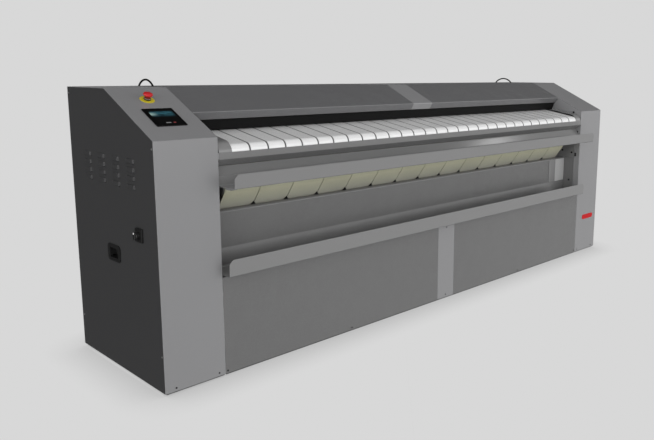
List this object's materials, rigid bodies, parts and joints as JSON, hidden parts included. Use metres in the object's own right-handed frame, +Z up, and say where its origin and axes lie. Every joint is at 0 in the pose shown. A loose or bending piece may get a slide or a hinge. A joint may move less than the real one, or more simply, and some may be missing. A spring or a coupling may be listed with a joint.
{
  "type": "rotary ironer",
  "caption": "Long free-standing flatwork ironer with end cabinets, sloping hood, feed bands over a nose, ironing bands round a heated cylinder, and front trough and receiving tray.",
  "frame": {"origin": "centre of the overall bounding box, on the floor under the feet", "axes": "+X along the machine, to the operator's right; -Y towards the operator; +Z up"},
  "size_m": [3.7348, 0.975, 1.3308],
  "materials": {
    "dark_paint": "semi-gloss, fine texture",
    "grey_paint": "semi-gloss metallic grey",
    "hood_paint": "semi-gloss dark grey",
    "panel_paint": "semi-gloss mid grey",
    "black_paint": "satin black",
    "frame_paint": "satin",
    "casting_paint": "painted casting",
    "roller_steel": "turned",
    "polished_steel": "ground and polished",
    "heater_steel": "heat darkened",
    "drive_steel": "machined",
    "chain_steel": "oiled",
    "sheet_zinc": "zinc plated sheet",
    "feed_fabric": "woven white belting",
    "iron_fabric": "cream heat-resistant felt",
    "foot_rubber": "matt",
    "screen_black": "gloss",
    "black_plastic": "satin",
    "yellow_plastic": "satin",
    "red_plastic": "gloss",
    "red_plate": "gloss"
  },
  "bodies": {
    "chassis": {"side_panel_left": "dark_paint", "side_panel_right": "dark_paint", "front_cover_left": "grey_paint", "front_cover_right": "grey_paint", "top_cover_left": "grey_paint", "top_cover_right": "grey_paint", "inner_wall_left": "grey_paint", "inner_wall_right": "grey_paint", "back_cover_left": "dark_paint", "back_cover_right": "dark_paint", "back_panel": "dark_paint", "hood_left": "hood_paint", "hood_right": "hood_paint", "hood_strip": "grey_paint", "front_panel_left": "panel_paint", "front_panel_right": "panel_paint", "front_strip": "grey_paint", "feed_trough": "grey_paint", "receiving_tray": "grey_paint", "feed_bands": "feed_fabric", "ironing_bands": "iron_fabric", "scraper_comb": "black_paint", "heater_bundle": "heater_steel", "cylinder_bearing_left": "casting_paint", "cylinder_bearing_right": "casting_paint", "side_frame_left": "frame_paint", "side_frame_right": "frame_paint", "base_frame": "frame_paint", "levelling_foot_front_left": "foot_rubber", "levelling_foot_front_right": "foot_rubber", "levelling_foot_back_left": "foot_rubber", "levelling_foot_back_right": "foot_rubber", "bracket_left": "dark_paint", "bracket_right": "dark_paint", "feed_chain": "chain_steel", "gearmotor": "casting_paint", "fan_housing": "sheet_zinc", "control_box": "grey_paint", "touch_screen": "screen_black", "stop_disc": "yellow_plastic", "stop_collar": "black_plastic", "isolator_plate": "black_plastic", "pull_handle": "black_plastic", "hoop_left": "black_paint", "hoop_right": "black_paint", "red_plate": "red_plate"},
    "cylinder": {"heated_cylinder": "polished_steel", "cylinder_sprocket": "drive_steel"},
    "feed_front": {"feed_roller_front": "roller_steel"},
    "feed_rear": {"feed_roller_rear": "roller_steel", "feed_sprocket": "drive_steel"},
    "iron_nip": {"ironing_roller_nip": "roller_steel"},
    "iron_outfeed": {"ironing_roller_outfeed": "roller_steel"},
    "iron_turn": {"ironing_roller_turn": "roller_steel"},
    "iron_rear_lower": {"ironing_roller_rear_lower": "roller_steel"},
    "iron_rear_upper": {"ironing_roller_rear_upper": "roller_steel"},
    "fan": {"fan_impeller": "sheet_zinc"},
    "guard": {"finger_guard": "black_paint"},
    "stop": {"stop_button": "red_plastic"},
    "isolator": {"isolator_knob": "black_plastic"}
  },
  "joints": [
    {"name": "cylinder_spin", "type": "hinge", "parent": "chassis", "child": "cylinder", "pos_m": [0.0114, 0.1175, 0.962], "axis": [1, 0, 0], "continuous": true},
    {"name": "feed_front_spin", "type": "hinge", "parent": "chassis", "child": "feed_front", "pos_m": [0.0114, -0.3345, 1.019], "axis": [1, 0, 0], "continuous": true},
    {"name": "feed_rear_spin", "type": "hinge", "parent": "chassis", "child": "feed_rear", "pos_m": [0.0114, -0.1025, 1.06], "axis": [1, 0, 0], "continuous": true},
    {"name": "iron_nip_spin", "type": "hinge", "parent": "chassis", "child": "iron_nip", "pos_m": [0.0114, -0.03413, 1.14368], "axis": [1, 0, 0], "continuous": true},
    {"name": "iron_outfeed_spin", "type": "hinge", "parent": "chassis", "child": "iron_outfeed", "pos_m": [0.0114, -0.2365, 0.844], "axis": [1, 0, 0], "continuous": true},
    {"name": "iron_turn_spin", "type": "hinge", "parent": "chassis", "child": "iron_turn", "pos_m": [0.0114, -0.06016, 0.6013], "axis": [1, 0, 0], "continuous": true},
    {"name": "iron_rear_lower_spin", "type": "hinge", "parent": "chassis", "child": "iron_rear_lower", "pos_m": [0.0114, 0.3555, 0.652], "axis": [1, 0, 0], "continuous": true},
    {"name": "iron_rear_upper_spin", "type": "hinge", "parent": "chassis", "child": "iron_rear_upper", "pos_m": [0.0114, 0.3495, 1.152], "axis": [1, 0, 0], "continuous": true},
    {"name": "fan_spin", "type": "hinge", "parent": "chassis", "child": "fan", "pos_m": [1.6734, 0.1875, 0.572], "axis": [1, 0, 0], "continuous": true},
    {"name": "guard_swing", "type": "hinge", "parent": "chassis", "child": "guard", "pos_m": [0.0114, -0.1385, 1.143], "axis": [1, 0, 0], "range_deg": [0, 25]},
    {"name": "stop_press", "type": "slide", "parent": "chassis", "child": "stop", "axis": [0, 0.4318, -0.902], "range_m": [0, 0.006], "stiffness_N_per_m": 400},
    {"name": "isolator_turn", "type": "hinge", "parent": "chassis", "child": "isolator", "pos_m": [-1.8476, -0.2185, 0.68], "axis": [1, 0, 0], "range_deg": [0, 90]}
  ],
  "couplings": [
    {"joint": "feed_front_spin", "follows": "cylinder_spin", "ratio": 5.5882},
    {"joint": "feed_rear_spin", "follows": "cylinder_spin", "ratio": 5.5882},
    {"joint": "iron_nip_spin", "follows": "cylinder_spin", "ratio": -4.4332},
    {"joint": "iron_outfeed_spin", "follows": "cylinder_spin", "ratio": -4.4332},
    {"joint": "iron_turn_spin", "follows": "cylinder_spin", "ratio": -4.4332},
    {"joint": "iron_rear_lower_spin", "follows": "cylinder_spin", "ratio": -4.4332},
    {"joint": "iron_rear_upper_spin", "follows": "cylinder_spin", "ratio": -4.4332}
  ]
}
